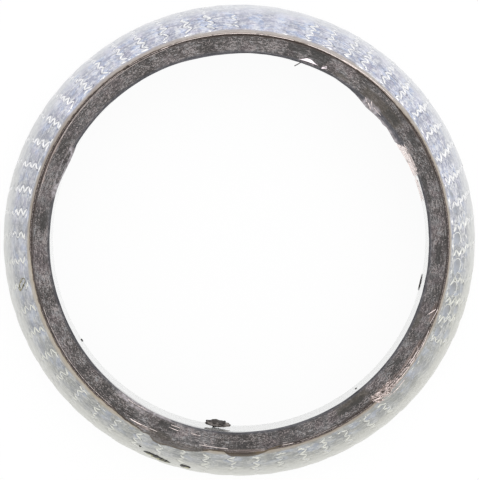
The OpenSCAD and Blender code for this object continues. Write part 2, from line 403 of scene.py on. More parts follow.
def spin_outline(name, outline, steps):
    """A closed ring from its section: a circle's corners take the outline's places and are spun round the axis."""
    bpy.ops.object.select_all(action="DESELECT")
    bpy.ops.mesh.primitive_circle_add(vertices=len(outline), radius=outline[0][0])
    ring = bpy.context.active_object
    ring.name = ring.data.name = name
    for corner, (r, z) in zip(ring.data.vertices, outline):
        corner.co = (r, 0.0, z)
    bpy.ops.object.mode_set(mode="EDIT")
    bpy.ops.mesh.select_all(action="SELECT")
    bpy.ops.mesh.spin(steps=steps, angle=2 * math.pi, center=(0, 0, 0), axis=(0, 0, 1))
    bpy.ops.mesh.select_all(action="SELECT")
    bpy.ops.mesh.remove_doubles(threshold=1e-6)
    bpy.ops.mesh.normals_make_consistent(inside=False)
    bpy.ops.object.mode_set(mode="OBJECT")
    bpy.ops.object.shade_smooth()
    return ring


def draw_wires(name, paths, thickness, sides=6):
    """One mesh of round wires, from a curve with a spline for each path; thickness is a radius or one a path."""
    bpy.ops.object.select_all(action="DESELECT")
    bpy.ops.curve.primitive_nurbs_path_add()
    piece = bpy.context.active_object
    piece.name = piece.data.name = name
    curve = piece.data
    curve.splines.clear()
    curve.dimensions = "3D"
    curve.bevel_depth = 1.0
    curve.bevel_resolution = max(0, sides // 2 - 2)
    curve.use_fill_caps = True
    for number, path in enumerate(paths):
        spline = curve.splines.new("POLY")
        spline.points.add(len(path) - 1)
        radius = thickness if np.isscalar(thickness) else thickness[number]
        widths = np.broadcast_to(radius, len(path))
        for point, place, width in zip(spline.points, path, widths):
            point.co = (*place, 1.0)
            point.radius = float(width)
    bpy.ops.object.convert(target="MESH")
    piece = bpy.context.active_object
    bpy.ops.object.shade_smooth()
    return piece


def lay_lump(name, span, section, ragged=0.25, seed=0.0):
    """A ragged flake bent to the ring: a ball pressed flat between two angles; section gives radius and height."""
    bpy.ops.object.select_all(action="DESELECT")
    bpy.ops.mesh.primitive_ico_sphere_add(subdivisions=4, radius=1.0)
    piece = bpy.context.active_object
    piece.name = piece.data.name = name
    points, _, _ = read_points(piece)
    rough = 1 + ragged * lumps(points + seed, 0.45, 3)[:, None]
    points = points * rough
    keep_values(piece, "Across", points[:, 1])
    angle = sum(span) / 2 + points[:, 0] * (span[1] - span[0]) / 2
    write_points(piece, ring_places(angle, *section(points[:, 1], points[:, 2])))
    bpy.ops.object.shade_smooth()
    return piece


def finish_piece(piece, material, replaces=None):
    """Gives a piece its material, attaches it to the root body and hides the part it replaces, if any."""
    piece.data.materials.clear()
    piece.data.materials.append(bpy.data.materials[material])
    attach(piece, "root")
    if replaces:
        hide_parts(replaces)


def keep_values(piece, name, values):
    """Keeps one number for each vertex, which a material reads."""
    layer = piece.data.attributes.new(name, "FLOAT", "POINT")
    layer.data.foreach_set("value", np.ascontiguousarray(values, dtype=np.float32))


def distance_to_wires(points, paths, reach):
    """Distance from each point to the nearest wire's centre line, no more than reach."""
    dense = []
    for path in paths:
        steps = np.linspace(path[:-1], path[1:], 5, endpoint=False)
        dense.append(steps.reshape(-1, 3))
    dense = np.concatenate(dense)
    tree = kdtree.KDTree(len(dense))
    for number, place in enumerate(dense):
        tree.insert(place, number)
    tree.balance()
    return np.minimum([tree.find(point)[2] for point in points], reach)


def arc_points(centre, radius, start, end, count):
    """Points along an arc of a section, in degrees."""
    turn = np.radians(np.linspace(start, end, count))
    return [(centre[0] + radius * math.cos(t), centre[1] + radius * math.sin(t)) for t in turn]


def line_points(start, end, count):
    """Evenly spaced points from start up to, but not at, end."""
    steps = np.linspace(0, 1, count, endpoint=False)
    return [(start[0] + (end[0] - start[0]) * t, start[1] + (end[1] - start[1]) * t) for t in steps]


class Wiring:
    """Adds shader nodes to one tree and joins them."""

    def __init__(self, tree):
        self.tree = tree

    def add(self, kind, **settings):
        """A node with its plain settings."""
        node = self.tree.nodes.new(kind)
        for key, value in settings.items():
            setattr(node, key, value)
        return node

    def feed(self, socket, value):
        """Links a socket to another, or writes a plain value into it."""
        if isinstance(value, bpy.types.NodeSocket):
            self.tree.links.new(value, socket)
        elif hasattr(socket.default_value, "__len__") and len(socket.default_value) == 4 and len(value) == 3:
            socket.default_value = (*value, 1.0)
        else:
            socket.default_value = value

    def math(self, operation, *values, clamp=False):
        """The result of a Math node."""
        node = self.add("ShaderNodeMath", operation=operation, use_clamp=clamp)
        for socket, value in zip(node.inputs, values):
            self.feed(socket, value)
        return node.outputs[0]

    def fade(self, value, low, high, out_low=0.0, out_high=1.0):
        """A smooth step between two values."""
        node = self.add("ShaderNodeMapRange", interpolation_type="SMOOTHSTEP")
        for socket, setting in zip(node.inputs, (value, low, high, out_low, out_high)):
            self.feed(socket, setting)
        return node.outputs[0]

    def blend(self, factor, first, second):
        """A mix of two colours."""
        node = self.add("ShaderNodeMix", data_type="RGBA")
        self.feed(node.inputs[0], factor)
        self.feed(node.inputs[6], first)
        self.feed(node.inputs[7], second)
        return node.outputs[2]

    def noise(self, vector, size, detail=2.0, rough=0.5):
        """Noise with lumps of a size in metres, about 0.5."""
        node = self.add("ShaderNodeTexNoise")
        self.feed(node.inputs["Vector"], vector)
        self.feed(node.inputs["Scale"], 1.0 / size)
        self.feed(node.inputs["Detail"], detail)
        self.feed(node.inputs["Roughness"], rough)
        return node.outputs["Fac"]

    def place(self):
        """Object coordinates."""
        return self.add("ShaderNodeTexCoord").outputs["Object"]

    def kept(self, name):
        """A number that the mesh keeps for each vertex."""
        return self.add("ShaderNodeAttribute", attribute_name=name).outputs["Fac"]

    def facing_ratio(self):
        """0 where the surface faces the eye, 1 where it turns away."""
        return self.add("ShaderNodeLayerWeight").outputs["Facing"]

    def parts(self, vector):
        """X, Y and Z of a vector."""
        node = self.add("ShaderNodeSeparateXYZ")
        self.feed(node.inputs[0], vector)
        return node.outputs

    def group(self, name, **values):
        """A placed node group with its own values."""
        node = self.add("ShaderNodeGroup", node_tree=bpy.data.node_groups[name])
        for key, value in values.items():
            self.feed(node.inputs[key.replace("_", " ").capitalize()], value)
        return node.outputs

    def bump(self, height, distance, strength=1.0, normal=None):
        """A normal that a height bends."""
        node = self.add("ShaderNodeBump")
        self.feed(node.inputs["Height"], height)
        self.feed(node.inputs["Distance"], distance)
        self.feed(node.inputs["Strength"], strength)
        if normal is not None:
            self.feed(node.inputs["Normal"], normal)
        return node.outputs["Normal"]


def start_group(name, inputs, outputs):
    """A node group with named sockets, its inner wiring, and its two end nodes."""
    tree = bpy.data.node_groups.new(name, "ShaderNodeTree")
    for label, kind, default in inputs:
        socket = tree.interface.new_socket(label, in_out="INPUT", socket_type=kind)
        if default is not None:
            socket.default_value = default
    for label, kind in outputs:
        tree.interface.new_socket(label, in_out="OUTPUT", socket_type=kind)
    wiring = Wiring(tree)
    return wiring, wiring.add("NodeGroupInput"), wiring.add("NodeGroupOutput")


def start_material(name):
    """A material with a Principled shader, and its wiring."""
    material = bpy.data.materials.new(name)
    material.use_nodes = True
    wiring = Wiring(material.node_tree)
    return wiring, material.node_tree.nodes["Principled BSDF"]


def make_ring_grain():
    """Grain that runs round the ring: long streaks with no seam, on the faces, the bore and the outside."""
    wires, start, end = start_group(
        "Ring grain",
        [("Length", "NodeSocketFloat", 0.002), ("Width", "NodeSocketFloat", 0.0003), ("Detail", "NodeSocketFloat", 2.0)],
        [("Grain", "NodeSocketFloat")],
    )
    x, y, z = wires.parts(wires.place())
    r = wires.math("SQRT", wires.math("ADD", wires.math("MULTIPLY", x, x), wires.math("MULTIPLY", y, y)))
    mean_radius = 0.034
    around = wires.math("DIVIDE", mean_radius, start.outputs["Length"])
    across = wires.math("DIVIDE", wires.math("SUBTRACT", r, z), start.outputs["Width"])
    joined = wires.add("ShaderNodeCombineXYZ")
    wires.feed(joined.inputs[0], wires.math("MULTIPLY", wires.math("DIVIDE", x, r), around))
    wires.feed(joined.inputs[1], wires.math("MULTIPLY", wires.math("DIVIDE", y, r), around))
    wires.feed(joined.inputs[2], across)
    cloud = wires.add("ShaderNodeTexNoise")
    wires.feed(cloud.inputs["Vector"], joined.outputs[0])
    wires.feed(cloud.inputs["Scale"], 1.0)
    wires.feed(cloud.inputs["Detail"], start.outputs["Detail"])
    wires.feed(end.inputs["Grain"], cloud.outputs["Fac"])


def make_crushed_grain():
    """Pressed wire and graphite: dark pits, pale flecks and a height that follows them."""
    wires, start, end = start_group(
        "Crushed grain",
        [("Fleck size", "NodeSocketFloat", 0.0003)],
        [("Flecks", "NodeSocketFloat"), ("Pits", "NodeSocketFloat"), ("Height", "NodeSocketFloat")],
    )
    place = wires.place()
    size = start.outputs["Fleck size"]
    cloud = wires.add("ShaderNodeTexNoise")
    wires.feed(cloud.inputs["Vector"], place)
    wires.feed(cloud.inputs["Scale"], wires.math("DIVIDE", 1.0, size))
    wires.feed(cloud.inputs["Detail"], 3.0)
    wires.feed(cloud.inputs["Roughness"], 0.7)
    patch = wires.noise(place, 0.0026, 2.0)
    streak = wires.group("Ring grain", length=0.0007, width=0.00016, detail=3.0)["Grain"]
    mixed = wires.math("MULTIPLY", wires.math("ADD", cloud.outputs["Fac"], streak), 0.5)
    lifted = wires.math("ADD", mixed, wires.math("MULTIPLY", wires.math("SUBTRACT", patch, 0.5), 0.30))
    wires.feed(end.inputs["Flecks"], wires.fade(lifted, 0.51, 0.60))
    wires.feed(end.inputs["Pits"], wires.fade(lifted, 0.48, 0.40))
    wires.feed(end.inputs["Height"], lifted)


def make_graphite(name, colours, sizes, zones):
    """Pressed graphite and wire; with zones, it has a burnt rim, a dark inner edge, painted shade in its hollows, a
    smooth bore and a painted reflection on the bore wall at grazing angles.
    """
    wires, shader = start_material(name)
    place = wires.place()
    grain = wires.group("Crushed grain", fleck_size=0.00017)
    patch = wires.fade(wires.noise(place, 0.0045, 2.0), 0.38, 0.64)
    tint = wires.fade(wires.noise(place, 0.0024, 1.0), 0.42, 0.58)
    tinted = wires.blend(tint, (0.085, 0.088, 0.092), (0.115, 0.085, 0.092))
    base = wires.blend(patch, tuple(colours.graphite), wires.blend(0.5, tuple(colours.graphite_worn), tinted))
    hue = wires.fade(wires.noise(place, 0.0007, 1.0), 0.40, 0.60)
    fleck = wires.blend(hue, (0.27, 0.265, 0.27), tuple(colours.graphite_fleck))
    colour = wires.blend(wires.math("MULTIPLY", grain["Flecks"], 0.85), base, fleck)
    colour = wires.blend(wires.math("MULTIPLY", grain["Pits"], 0.85), colour, tuple(colours.graphite_pit))
    strands = wires.group("Ring grain", length=0.004, width=0.00011, detail=2.0)["Grain"]
    fibre = wires.blend(wires.fade(strands, 0.44, 0.60), (0.075, 0.050, 0.042), (0.40, 0.31, 0.28))
    colour = wires.blend(wires.math("MULTIPLY", wires.kept("Fibre"), 0.8), colour, fibre)
    soft = wires.fade(wires.noise(place, 0.0006, 2.0), 0.3, 0.7)
    smear = wires.blend(soft, (0.040, 0.033, 0.024), (0.085, 0.070, 0.052))
    colour = wires.blend(wires.math("MULTIPLY", wires.kept("Smear"), 0.62), colour, smear)
    colour = wires.blend(wires.math("MULTIPLY", wires.kept("Face shade"), 1.0), colour, (0.022, 0.019, 0.018))
    colour = wires.blend(wires.kept("Edge"), colour, wires.blend(patch, (0.040, 0.026, 0.017), (0.11, 0.078, 0.042)))
    height = grain["Height"]
    rough = wires.fade(grain["Flecks"], 0.0, 1.0, 0.6, 0.45)
    if zones:
        x, y, z = wires.parts(place)
        r = wires.math("SQRT", wires.math("ADD", wires.math("MULTIPLY", x, x), wires.math("MULTIPLY", y, y)))
        top = wires.fade(z, sizes.height - 0.0012, sizes.height - 0.0004)
        rim_r = sizes.bore_radius + sizes.small_end_width - sizes.facing_thickness
        burnt = wires.math("MULTIPLY", wires.fade(r, rim_r - 0.00040, rim_r - 0.00010), top)
        burnt = wires.math("MULTIPLY", burnt, wires.kept("Burnt rim"))
        lamina = wires.group("Ring grain", length=0.02, width=0.00009, detail=1.0)["Grain"]
        hollow = wires.kept("Hollow")
        # Painted shade: the sunk hollows are coloured near black
        colour = wires.blend(wires.math("MULTIPLY", hollow, 0.66), colour, (0.016, 0.015, 0.013))
        rim_colour = wires.blend(wires.fade(lamina, 0.42, 0.62), tuple(colours.rim), (0.12, 0.092, 0.078))
        colour = wires.blend(wires.math("MULTIPLY", burnt, 0.85), colour, rim_colour)
        inner = wires.fade(r, sizes.bore_radius + 0.00055, sizes.bore_radius + 0.0001)
        smooth_grey = wires.blend(wires.fade(lamina, 0.35, 0.7), (0.030, 0.031, 0.040), (0.090, 0.091, 0.108))
        colour = wires.blend(wires.math("MULTIPLY", inner, 0.75), colour, smooth_grey)
        scuffed = wires.blend(soft, (0.19, 0.17, 0.172), (0.44, 0.405, 0.43))
        colour = wires.blend(wires.math("MULTIPLY", wires.kept("Scuff"), 0.85), colour, scuffed)
        # Painted reflection: the bore wall's colour is lifted to near white where it turns away from the eye
        bore = wires.fade(r, sizes.bore_radius + 0.00012, sizes.bore_radius + 0.00003)
        glare = wires.math("MULTIPLY", wires.fade(wires.facing_ratio(), 0.86, 0.97), bore)
        colour = wires.blend(glare, colour, (0.78, 0.80, 0.78))
        rough = wires.math("MINIMUM", rough, wires.fade(bore, 0.0, 1.0, 0.6, 0.03))
        height = wires.math("MULTIPLY", height, wires.math("SUBTRACT", 1.0, bore))
    wires.feed(shader.inputs["Base Color"], colour)
    wires.feed(shader.inputs["Roughness"], rough)
    wires.feed(shader.inputs["Normal"], wires.bump(height, 0.00010, 0.8))


def make_facing(colours, sizes, outside):
    """The pale facing: chalky streaks, hollows beside the wires, seams between the rows and a tan cut edge; painted
    light gives it a bluish or neutral tint round the ring, a lighter and a darker side to each row, shade beside the
    wires and along two folds, and a paler colour at grazing angles.
    """
    wires, shader = start_material("Pale facing")
    place = wires.place()
    x, y, z = wires.parts(place)
    near = wires.kept("Wire distance")
    seam = wires.kept("Seam")
    blur = wires.math("SUBTRACT", wires.noise(place, 0.004), 0.5)
    # Painted light: the facing's colour shifts from neutral-lit to blue-lit round the ring
    blue_light = wires.math("ADD", wires.kept("Blue light tint"), wires.math("MULTIPLY", blur, 0.9), clamp=True)
    colour = wires.blend(blue_light, tuple(colours.neutral_lit_facing), tuple(colours.blue_lit_facing))
    violet = wires.math("MULTIPLY", wires.fade(wires.noise(place, 0.0022, 1.0), 0.50, 0.64), blue_light)
    colour = wires.blend(wires.math("MULTIPLY", violet, 0.6), colour, (0.56, 0.53, 0.64))
    blue_share = wires.math("MAXIMUM", blue_light, wires.fade(z, 0.0105, 0.0135, 0.0, 0.4))
    blue = wires.math("MULTIPLY", wires.fade(wires.noise(place, 0.0019, 1.0), 0.48, 0.36), blue_share)
    colour = wires.blend(wires.math("MULTIPLY", blue, 0.75), colour, (0.36, 0.44, 0.64))
    # Painted light and shade: each row's pillow is coloured lighter on one side and darker on the other
    cell = wires.math("ADD", wires.kept("Cell"), wires.math("MULTIPLY", blur, 3.5))
    bright_side = wires.math("MULTIPLY", wires.fade(cell, 0.1, 0.9), 0.28)
    colour = wires.blend(bright_side, colour, wires.blend(blue_light, (0.44, 0.46, 0.48), (0.64, 0.68, 0.80)))
    dim_side = wires.math("MULTIPLY", wires.fade(cell, -0.1, -0.9), 0.26)
    shade_tone = wires.blend(blue_light, (0.165, 0.175, 0.185), tuple(colours.shade_facing))
    colour = wires.blend(dim_side, colour, shade_tone)
    steady_blue_light = wires.kept("Blue light tint")
    folded = wires.math("ADD", z, wires.math("MULTIPLY", blur, 0.0012))
    lower = wires.math("ADD", wires.math("ADD", z, wires.math("MULTIPLY", blur, 0.0045)),
                       wires.math("MULTIPLY", steady_blue_light, 0.0024))
    low = wires.math("MULTIPLY", wires.fade(lower, 0.0126, 0.0094), 0.75)
    low_tone = wires.blend(steady_blue_light, tuple(colours.low_facing), (0.52, 0.53, 0.565))
    colour = wires.blend(low, colour, low_tone)
    strength = wires.math("MULTIPLY", wires.fade(z, 0.0080, 0.0120, 0.5, 1.0), wires.kept("Mottle"))
    pale = wires.blend(steady_blue_light, (0.60, 0.60, 0.555), tuple(colours.pale_facing))
    blotch = wires.noise(place, 0.0013, 2.0)
    cloud = wires.noise(place, 0.0004, 2.0)
    streak = wires.group("Ring grain", length=0.0014, width=0.00024, detail=2.0)["Grain"]
    light = wires.math("MAXIMUM", wires.fade(blotch, 0.54, 0.66, 0.0, 0.55), wires.fade(cloud, 0.56, 0.68, 0.0, 0.7))
    light = wires.math("MAXIMUM", light, wires.fade(streak, 0.54, 0.66, 0.0, 0.8))
    light = wires.math("MULTIPLY", light, wires.fade(wires.kept("Bare"), 0.2, 0.8, 1.0, 0.25))
    colour = wires.blend(wires.math("MULTIPLY", light, strength), colour, pale)
    patchy = wires.fade(wires.noise(place, 0.0011, 2.0), 0.36, 0.60)
    # Painted shade: the facing is darkened beside the wires, over their shallow grooves
    beside = wires.math("MULTIPLY", wires.fade(near, 0.00050, 0.00018), wires.fade(patchy, 0.0, 1.0, 0.2, 1.0))
    dark = wires.math("MAXIMUM", wires.fade(blotch, 0.45, 0.34, 0.0, 0.4), wires.fade(cloud, 0.44, 0.33, 0.0, 0.5))
    dark = wires.math("MAXIMUM", dark, wires.fade(streak, 0.44, 0.34, 0.0, 0.5))
    # Painted shade along two folds of the facing
    fold = wires.math("ABSOLUTE", wires.math("SUBTRACT", folded, 0.0116))
    second_fold = wires.math("ABSOLUTE", wires.math("SUBTRACT", folded, 0.0088))
    fold = wires.math("MINIMUM", fold, wires.math("ADD", second_fold, 0.0001))
    fold_line = wires.math("MULTIPLY", wires.fade(fold, 0.00034, 0.00008), wires.math("MULTIPLY", patchy, 0.6))
    seam_line = wires.math("MULTIPLY", wires.fade(seam, 0.84, 0.98), wires.math("MULTIPLY", patchy, 0.3))
    # The shade mask holds the painted shade beside the wires and along the folds, the random dark mottling and the
    # seams between rows
    shade = wires.math("MAXIMUM", wires.math("MAXIMUM", beside, dark), wires.math("MAXIMUM", seam_line, fold_line))
    colour = wires.blend(wires.math("MULTIPLY", shade, strength), colour, shade_tone)
    open_light = wires.math("MULTIPLY", wires.kept("Open"), wires.fade(cloud, 0.40, 0.56, 0.0, 0.3))
    colour = wires.blend(open_light, colour, (0.56, 0.57, 0.58))
    bare = wires.blend(wires.kept("Bare dark"), (0.40, 0.44, 0.53), (0.20, 0.20, 0.195))
    bare = wires.blend(wires.fade(blotch, 0.4, 0.6, 0.0, 0.4), bare, (0.36, 0.38, 0.42))
    colour = wires.blend(wires.math("MULTIPLY", wires.kept("Bare"), 0.85), colour, bare)
    # Painted sheen: the facing is coloured paler where it turns away from the eye
    grazing = wires.fade(wires.facing_ratio(), 0.63, 0.92, 0.0, 0.85)
    colour = wires.blend(grazing, colour, wires.blend(steady_blue_light, (0.70, 0.70, 0.655), tuple(colours.pale_facing)))
    up = wires.math("SUBTRACT", wires.math("SQRT", wires.math("ADD", wires.math("MULTIPLY", x, x),
                                                              wires.math("MULTIPLY", y, y))), z)
    spread = wires.kept("Rim spread")
    cut_line = wires.math("ADD", spread, outside.top_r - outside.height)
    wander = wires.math("MULTIPLY", wires.math("SUBTRACT", wires.noise(place, 0.006), 0.5), 0.0012)
    past = wires.math("ADD", wires.math("SUBTRACT", up, outside.top_r - outside.height), wander)
    beyond = wires.math("DIVIDE", past, wires.kept("Cut width"))
    cut = wires.fade(beyond, 1.15, 0.45)
    tone = wires.blend(wires.kept("Cut tone"), (0.375, 0.33, 0.31), tuple(colours.cut_edge))
    tone = wires.blend(wires.fade(streak, 0.42, 0.62, 0.0, 0.6), tone, (0.46, 0.42, 0.38))
    tone = wires.blend(wires.kept("Cut shade"), tone, (0.145, 0.108, 0.082))
    colour = wires.blend(wires.math("MULTIPLY", cut, 0.92), colour, tone)
    ragged = wires.math("MULTIPLY", wires.math("SUBTRACT", wires.noise(place, 0.0008, 2.0), 0.5), 0.00035)
    inside = wires.math("ADD", wires.math("SUBTRACT", up, cut_line), sizes.facing_thickness)
    inside = wires.math("ADD", inside, ragged)
    colour = wires.blend(wires.fade(inside, 0.00022, 0.00002, 0.0, 0.5), colour, (0.20, 0.14, 0.09))
    spilt = wires.fade(inside, 0.00005, -0.00005)
    speckle = wires.fade(wires.noise(place, 0.00022, 2.0), 0.42, 0.60)
    spilt_tone = wires.blend(speckle, (0.040, 0.028, 0.024), (0.20, 0.165, 0.155))
    edge_line = wires.fade(inside, -0.00016, -0.00006, 0.0, 0.85)
    colour = wires.blend(spilt, colour, wires.blend(edge_line, spilt_tone, (0.038, 0.023, 0.015)))
    wires.feed(shader.inputs["Base Color"], colour)
    wires.feed(shader.inputs["Roughness"], wires.fade(streak, 0.3, 0.7, 0.5, 0.36))
    height = wires.math("SUBTRACT", wires.math("MULTIPLY", streak, 0.8), wires.math("MULTIPLY", shade, 0.7))
    wires.feed(shader.inputs["Normal"], wires.bump(height, 0.00010, 0.7))


def make_wire(name, colour, coat, near_light_colour=None):
    """Bright wire, broken by patches of facing that still cover it; on the near side its colour can be painted greyer
    and warmer, as lit by plainer light.
    """
    wires, shader = start_material(name)
    place = wires.place()
    # Painted light: the wire is coloured greyer and warmer on the near side, as the facing there
    if near_light_colour:
        _, y, _ = wires.parts(place)
        colour = wires.blend(wires.fade(y, 0.012, -0.012), colour, near_light_colour)
    covered = wires.fade(wires.noise(place, 0.0007, 2.0), 0.55, 0.66)
    wires.feed(shader.inputs["Base Color"], wires.blend(covered, colour, coat))
    wires.feed(shader.inputs["Metallic"], wires.math("SUBTRACT", 1.0, covered))
    wires.feed(shader.inputs["Roughness"], wires.fade(wires.noise(place, 0.0004, 1.0), 0.3, 0.7, 0.22, 0.42))
    wires.feed(shader.inputs["Normal"], wires.bump(wires.noise(place, 0.00025, 1.0), 0.00003, 0.4))


def make_stain(name, dark, light):
    """A burnt mark, darker at its edges, with a dull gold middle."""
    wires, shader = start_material(name)
    patch = wires.noise(wires.place(), 0.0007, 3.0)
    burnt = wires.math("ADD", patch, wires.math("MULTIPLY", wires.kept("Across"), 0.22))
    wires.feed(shader.inputs["Base Color"], wires.blend(wires.fade(burnt, 0.46, 0.62), dark, light))
    wires.feed(shader.inputs["Roughness"], wires.fade(patch, 0.3, 0.7, 0.45, 0.65))


class GASKET_OT_materials(bpy.types.Operator):
    """Makes the node groups and the materials"""

    bl_idname = "gasket.materials"
    bl_label = "Materials"

    def execute(self, context):
        sizes = context.scene.gasket_sizes
        colours = context.scene.gasket_colours
        make_ring_grain()
        make_crushed_grain()
        make_graphite("Pressed graphite", colours, sizes, zones=True)
        make_graphite("Loose graphite", colours, sizes, zones=False)
        make_facing(colours, sizes, Outside(sizes))
        make_wire("Bright wire", tuple(colours.wire), (0.56, 0.57, 0.59), (0.76, 0.76, 0.70))
        make_wire("Warm wire", tuple(colours.copper_wire), tuple(colours.graphite_fleck))
        make_wire("Pale strands", (0.87, 0.79, 0.82), (0.72, 0.62, 0.66))
        make_wire("Crushed wire", (0.70, 0.60, 0.57), (0.16, 0.115, 0.10))
        make_wire("Dull wire", tuple(colours.dull_wire), tuple(colours.graphite))
        make_stain("Burnt chip", (0.012, 0.011, 0.010), (0.38, 0.37, 0.22))
        make_stain("Loose flake", (0.060, 0.052, 0.048), (0.30, 0.27, 0.25))
        make_stain("Oil mark", (0.16, 0.14, 0.07), (0.42, 0.38, 0.24))
        return {"FINISHED"}


class GASKET_OT_body(bpy.types.Operator):
    """Models the pressed graphite body with its speckled ends and bulged bore edge"""

    bl_idname = "gasket.body"
    bl_label = "Graphite body"

    def outline(self, sizes, outside):
        """The body's section, from the bore round the small end, the covered side and the large end."""
        bore, top, edge = sizes.bore_radius, sizes.height, sizes.edge_radius
        skin = sizes.facing_thickness + 0.01 * MM
        rim = outside.place(outside.arc, -skin)[0] - 0.01 * MM
        low = sizes.outer_radius - sizes.corner_radius - 0.01 * MM
        points = line_points((bore, edge), (bore, top - edge), 14)
        points += arc_points((bore + edge, top - edge), edge, 180, 90, 4)
        points += line_points((bore + edge, top), (rim - 0.30 * MM, top), 26)[1:]
        points += [(rim - 0.30 * MM, top), (rim - 0.2 * MM, top - 0.07 * MM), (rim - 0.08 * MM, top - 0.12 * MM)]
        rises = np.linspace(outside.arc - 0.25 * MM, 0.0, 6)
        points += list(zip(*outside.place(rises, -skin)))
        corner = (sizes.outer_radius - sizes.corner_radius, sizes.corner_radius)
        points += arc_points(corner, sizes.corner_radius - skin, 0, -88, 5)
        points += [(low, skin), (low, 0.05 * MM), (low - 0.05 * MM, 0.0)]
        points += line_points((low - 0.3 * MM, 0.0), (bore + edge, 0.0), 20)
        points += arc_points((bore + edge, edge), edge, 270, 190, 4)
        return points

    def execute(self, context):
        sizes = context.scene.gasket_sizes
        outside = Outside(sizes)
        body = spin_outline("graphite_body", self.outline(sizes, outside), 720)
        points, angle, r = read_points(body)
        z = points[:, 2]
        rim = outside.place(outside.arc, -sizes.facing_thickness)[0]
        on_end = np.clip((r - sizes.bore_radius) / (0.4 * MM), 0, 1) * np.clip((rim - r) / (0.5 * MM), 0, 1)
        at_top = np.clip((z - sizes.height + 0.3 * MM) / (0.2 * MM), 0, 1)
        at_foot = np.clip((0.2 * MM - z) / (0.2 * MM), 0, 1)
        rough = 0.5 * lumps(points, 1.4 * MM, 3) + 0.5 * lumps(points + 0.1, 0.5 * MM, 2)
        sunk = np.minimum(rough - 0.35, 0.0) * 0.11 * MM
        z = z + sunk * at_top * on_end
        burnt = by_angle(BURNT_RIM, angle)
        beside_facing = (r > rim - 0.32 * MM) & (z > sizes.height - 0.2 * MM)
        z = np.where(beside_facing, sizes.height - (sizes.height - z) * (0.2 + 0.8 * burnt), z)
        z = z - np.minimum(rough, 0.0) * 0.05 * MM * at_foot * np.clip((r - sizes.bore_radius) / (0.4 * MM), 0, 1)
        near_edge = np.clip((z - sizes.height + 3.0 * MM) / (2.6 * MM), 0, 1) ** 2
        near_bore = np.clip((sizes.bore_radius + 0.9 * MM - r) / (0.9 * MM), 0, 1)
        bulge = by_angle(BORE_BULGE, angle) * MM + 0.035 * MM * lumps(points, 2.2 * MM, 3)
        r_new = r - bulge * near_edge * near_bore
        z = z - 0.45 * np.maximum(bulge, 0.0) * near_bore ** 2 * at_top
        moved = np.stack([points[:, 0] / r * r_new, points[:, 1] / r * r_new, z], axis=-1)
        for name, zones in (("Scuff", SCUFFS), ("Smear", SMEARS), ("Hollow", HOLLOWS), ("Fibre", FIBRES)):
            mark = mark_of(zones, moved, angle, r_new) * (z > sizes.height - 1.5 * MM)
            keep_values(body, name, mark)
            if name == "Hollow":
                moved[:, 2] -= 0.10 * MM * mark * at_top * on_end
        keep_values(body, "Burnt rim", burnt)
        keep_values(body, "Face shade", by_angle(FACE_SHADE, angle) * (z > sizes.height - 0.5 * MM))
        write_points(body, moved)
        finish_piece(body, "Pressed graphite", "graphite_ring")
        return {"FINISHED"}


class GASKET_OT_squeezed(bpy.types.Operator):
    """Models the graphite that was squeezed out over the facing"""

    bl_idname = "gasket.squeezed"
    bl_label = "Squeezed graphite"

    def execute(self, context):
        sizes = context.scene.gasket_sizes
        outside = Outside(sizes)
        bpy.ops.object.select_all(action="DESELECT")
        bpy.ops.mesh.primitive_grid_add(x_subdivisions=240, y_subdivisions=20, size=2.0)
        lip = bpy.context.active_object
        lip.name = lip.data.name = "squeezed_graphite"
        points, _, _ = read_points(lip)
        along = (points[:, 0] + 1) / 2
        across = (points[:, 1] + 1) / 2
        angle = SQUEEZED_EDGE[0][0] + along * (SQUEEZED_EDGE[-1][0] - SQUEEZED_EDGE[0][0])
        edge = by_angle(SQUEEZED_EDGE, angle) * MM
        ragged = lumps(ring_places(angle, edge, 0.0), 0.9 * MM, 3)
        edge = edge + 0.06 * MM * ragged
        inner = sizes.bore_radius + 2.3 * MM
        r = inner + (edge - inner) * across
        cover = np.clip((1.0 - across) / 0.35, 0, 1)
        ends = np.clip(along / 0.04, 0, 1) * np.clip((1 - along) / 0.04, 0, 1)
        thick = (0.02 + 0.36 * np.sqrt(cover) * ends) * MM - 0.05 * MM
        seat = np.where(r < outside.top_r, sizes.height, outside.height_at(np.maximum(r, outside.top_r)))
        grain = lumps(ring_places(angle, r, 0.0), 0.6 * MM, 3)
        z = np.minimum(seat + thick, sizes.height + 0.0 * MM) + 0.04 * MM * np.minimum(grain, 0.0)
        z = np.where(across < 0.12, sizes.height - 0.12 * MM, z)
        write_points(lip, ring_places(angle, r, z))
        brown = np.clip((across - 0.80) / 0.12, 0, 1) + mark_of([(264.5, 277.5, 33.75, 34.6)], points, angle, r)
        keep_values(lip, "Edge", np.clip(brown, 0, 1))
        fibre = mark_of([(264.5, 277, 33.3, 34.2), (240, 246, 33.2, 33.6)], points, angle, r)
        keep_values(lip, "Fibre", 0.5 * fibre)
        smear = mark_of([(244, 251, 32.9, 35.2), (251, 263, 33.6, 35.2), (263, 272, 33.9, 34.6)], points, angle, r)
        keep_values(lip, "Smear", 0.75 * smear)
        lip.modifiers.new("Thickness", "SOLIDIFY").thickness = 0.12 * MM
        bpy.ops.object.modifier_apply(modifier="Thickness")
        bpy.ops.object.shade_smooth()
        finish_piece(lip, "Loose graphite")
        return {"FINISHED"}


